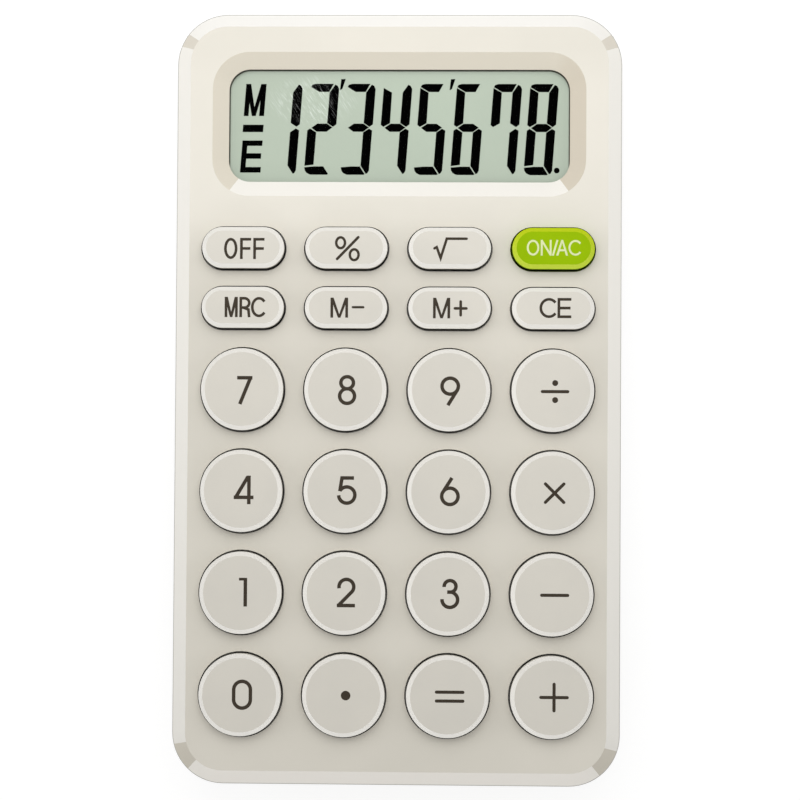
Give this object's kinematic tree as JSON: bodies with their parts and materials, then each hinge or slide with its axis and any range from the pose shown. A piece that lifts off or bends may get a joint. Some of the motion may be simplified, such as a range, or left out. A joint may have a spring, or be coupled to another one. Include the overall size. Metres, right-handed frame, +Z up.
{
  "type": "desk calculator",
  "caption": "Small slab desk calculator with a sloped LCD window, oval function keys and round number keys that press, and a sliding battery door.",
  "frame": {"origin": "on the surface the calculator rests on, under the middle of the case", "axes": "+X to the user's right, +Y towards the display end, +Z up through the keys"},
  "size_m": [0.07, 0.121, 0.0152],
  "materials": {
    "case_front": "warm white ABS, fine satin texture",
    "case_rear": "warm white ABS, finely spark-eroded texture",
    "key_plastic": "pale grey-white ABS, satin",
    "key_green": "lime green ABS, satin",
    "foot_rubber": "black rubber",
    "screw_steel": "zinc-plated steel",
    "display_lens": "clear acrylic, lightly scratched",
    "adhesive": "black adhesive film",
    "polarizer": "grey-green polarizer film",
    "lcd_glass": "thin clear glass",
    "lcd_reflector": "grey-green reflective film",
    "lcd_ink": "dark liquid-crystal segments",
    "gasket": "black foam",
    "frame_plastic": "white ABS",
    "zebra_rubber": "pink elastomer with dark layers",
    "board": "green solder mask on glass-fibre laminate",
    "carbon_print": "printed carbon",
    "epoxy": "black epoxy",
    "ceramic": "tan ceramic with tinned ends",
    "resistor_body": "black film with tinned ends",
    "silicone": "translucent grey silicone",
    "carbon_rubber": "carbon-filled rubber",
    "cell_steel": "nickel-plated steel",
    "contact_metal": "nickel-plated spring bronze",
    "wire_red": "red PVC insulation",
    "wire_black": "black PVC insulation",
    "legend_ink": "dark brown printed ink",
    "legend_white": "white printed ink"
  },
  "bodies": {
    "case": {"front_shell": "case_front", "rear_shell": "case_rear", "rubber_feet": "foot_rubber", "case_screws": "screw_steel", "display_lens": "display_lens", "lens_adhesive": "adhesive", "lcd_front_polarizer": "polarizer", "lcd_front_glass": "lcd_glass", "lcd_rear_glass": "lcd_glass", "lcd_reflector": "lcd_reflector", "lcd_gasket": "gasket", "lcd_frame": "frame_plastic", "lcd_frame_screws": "screw_steel", "zebra_strip": "zebra_rubber", "main_board": "board", "board_screws": "screw_steel", "contact_pads": "carbon_print", "chip_blob": "epoxy", "ceramic_capacitors": "ceramic", "resistors": "resistor_body", "rubber_keypad": "silicone", "contact_pills": "carbon_rubber", "button_cell": "cell_steel", "battery_contact_positive": "contact_metal", "battery_contact_negative": "contact_metal", "wire_red": "wire_red", "wire_black": "wire_black"},
    "battery_door": {"battery_door": "case_rear"},
    "key_off": {"key_off": "key_plastic"},
    "key_percent": {"key_percent": "key_plastic"},
    "key_root": {"key_root": "key_plastic"},
    "key_on_clear_all": {"key_on_clear_all": "key_green"},
    "key_memory_recall": {"key_memory_recall": "key_plastic"},
    "key_memory_minus": {"key_memory_minus": "key_plastic"},
    "key_memory_plus": {"key_memory_plus": "key_plastic"},
    "key_clear_entry": {"key_clear_entry": "key_plastic"},
    "key_7": {"key_7": "key_plastic"},
    "key_8": {"key_8": "key_plastic"},
    "key_9": {"key_9": "key_plastic"},
    "key_divide": {"key_divide": "key_plastic"},
    "key_4": {"key_4": "key_plastic"},
    "key_5": {"key_5": "key_plastic"},
    "key_6": {"key_6": "key_plastic"},
    "key_multiply": {"key_multiply": "key_plastic"},
    "key_1": {"key_1": "key_plastic"},
    "key_2": {"key_2": "key_plastic"},
    "key_3": {"key_3": "key_plastic"},
    "key_minus": {"key_minus": "key_plastic"},
    "key_0": {"key_0": "key_plastic"},
    "key_point": {"key_point": "key_plastic"},
    "key_equals": {"key_equals": "key_plastic"},
    "key_plus": {"key_plus": "key_plastic"}
  },
  "joints": [
    {"name": "press_key_off", "type": "slide", "parent": "case", "child": "key_off", "axis": [0, 0, -1], "range_m": [0, 0.001], "stiffness_N_per_m": 700, "deforming": ["rubber_keypad", "contact_pills"]},
    {"name": "press_key_percent", "type": "slide", "parent": "case", "child": "key_percent", "axis": [0, 0, -1], "range_m": [0, 0.001], "stiffness_N_per_m": 700, "deforming": ["rubber_keypad", "contact_pills"]},
    {"name": "press_key_root", "type": "slide", "parent": "case", "child": "key_root", "axis": [0, 0, -1], "range_m": [0, 0.001], "stiffness_N_per_m": 700, "deforming": ["rubber_keypad", "contact_pills"]},
    {"name": "press_key_on_clear_all", "type": "slide", "parent": "case", "child": "key_on_clear_all", "axis": [0, 0, -1], "range_m": [0, 0.001], "stiffness_N_per_m": 700, "deforming": ["rubber_keypad", "contact_pills"]},
    {"name": "press_key_memory_recall", "type": "slide", "parent": "case", "child": "key_memory_recall", "axis": [0, 0, -1], "range_m": [0, 0.001], "stiffness_N_per_m": 700, "deforming": ["rubber_keypad", "contact_pills"]},
    {"name": "press_key_memory_minus", "type": "slide", "parent": "case", "child": "key_memory_minus", "axis": [0, 0, -1], "range_m": [0, 0.001], "stiffness_N_per_m": 700, "deforming": ["rubber_keypad", "contact_pills"]},
    {"name": "press_key_memory_plus", "type": "slide", "parent": "case", "child": "key_memory_plus", "axis": [0, 0, -1], "range_m": [0, 0.001], "stiffness_N_per_m": 700, "deforming": ["rubber_keypad", "contact_pills"]},
    {"name": "press_key_clear_entry", "type": "slide", "parent": "case", "child": "key_clear_entry", "axis": [0, 0, -1], "range_m": [0, 0.001], "stiffness_N_per_m": 700, "deforming": ["rubber_keypad", "contact_pills"]},
    {"name": "press_key_7", "type": "slide", "parent": "case", "child": "key_7", "axis": [0, 0, -1], "range_m": [0, 0.001], "stiffness_N_per_m": 700, "deforming": ["rubber_keypad", "contact_pills"]},
    {"name": "press_key_8", "type": "slide", "parent": "case", "child": "key_8", "axis": [0, 0, -1], "range_m": [0, 0.001], "stiffness_N_per_m": 700, "deforming": ["rubber_keypad", "contact_pills"]},
    {"name": "press_key_9", "type": "slide", "parent": "case", "child": "key_9", "axis": [0, 0, -1], "range_m": [0, 0.001], "stiffness_N_per_m": 700, "deforming": ["rubber_keypad", "contact_pills"]},
    {"name": "press_key_divide", "type": "slide", "parent": "case", "child": "key_divide", "axis": [0, 0, -1], "range_m": [0, 0.001], "stiffness_N_per_m": 700, "deforming": ["rubber_keypad", "contact_pills"]},
    {"name": "press_key_4", "type": "slide", "parent": "case", "child": "key_4", "axis": [0, 0, -1], "range_m": [0, 0.001], "stiffness_N_per_m": 700, "deforming": ["rubber_keypad", "contact_pills"]},
    {"name": "press_key_5", "type": "slide", "parent": "case", "child": "key_5", "axis": [0, 0, -1], "range_m": [0, 0.001], "stiffness_N_per_m": 700, "deforming": ["rubber_keypad", "contact_pills"]},
    {"name": "press_key_6", "type": "slide", "parent": "case", "child": "key_6", "axis": [0, 0, -1], "range_m": [0, 0.001], "stiffness_N_per_m": 700, "deforming": ["rubber_keypad", "contact_pills"]},
    {"name": "press_key_multiply", "type": "slide", "parent": "case", "child": "key_multiply", "axis": [0, 0, -1], "range_m": [0, 0.001], "stiffness_N_per_m": 700, "deforming": ["rubber_keypad", "contact_pills"]},
    {"name": "press_key_1", "type": "slide", "parent": "case", "child": "key_1", "axis": [0, 0, -1], "range_m": [0, 0.001], "stiffness_N_per_m": 700, "deforming": ["rubber_keypad", "contact_pills"]},
    {"name": "press_key_2", "type": "slide", "parent": "case", "child": "key_2", "axis": [0, 0, -1], "range_m": [0, 0.001], "stiffness_N_per_m": 700, "deforming": ["rubber_keypad", "contact_pills"]},
    {"name": "press_key_3", "type": "slide", "parent": "case", "child": "key_3", "axis": [0, 0, -1], "range_m": [0, 0.001], "stiffness_N_per_m": 700, "deforming": ["rubber_keypad", "contact_pills"]},
    {"name": "press_key_minus", "type": "slide", "parent": "case", "child": "key_minus", "axis": [0, 0, -1], "range_m": [0, 0.001], "stiffness_N_per_m": 700, "deforming": ["rubber_keypad", "contact_pills"]},
    {"name": "press_key_0", "type": "slide", "parent": "case", "child": "key_0", "axis": [0, 0, -1], "range_m": [0, 0.001], "stiffness_N_per_m": 700, "deforming": ["rubber_keypad", "contact_pills"]},
    {"name": "press_key_point", "type": "slide", "parent": "case", "child": "key_point", "axis": [0, 0, -1], "range_m": [0, 0.001], "stiffness_N_per_m": 700, "deforming": ["rubber_keypad", "contact_pills"]},
    {"name": "press_key_equals", "type": "slide", "parent": "case", "child": "key_equals", "axis": [0, 0, -1], "range_m": [0, 0.001], "stiffness_N_per_m": 700, "deforming": ["rubber_keypad", "contact_pills"]},
    {"name": "press_key_plus", "type": "slide", "parent": "case", "child": "key_plus", "axis": [0, 0, -1], "range_m": [0, 0.001], "stiffness_N_per_m": 700, "deforming": ["rubber_keypad", "contact_pills"]},
    {"name": "battery_door_slide", "type": "slide", "parent": "case", "child": "battery_door", "axis": [0, 1, 0], "range_m": [0, 0.02]}
  ]
}
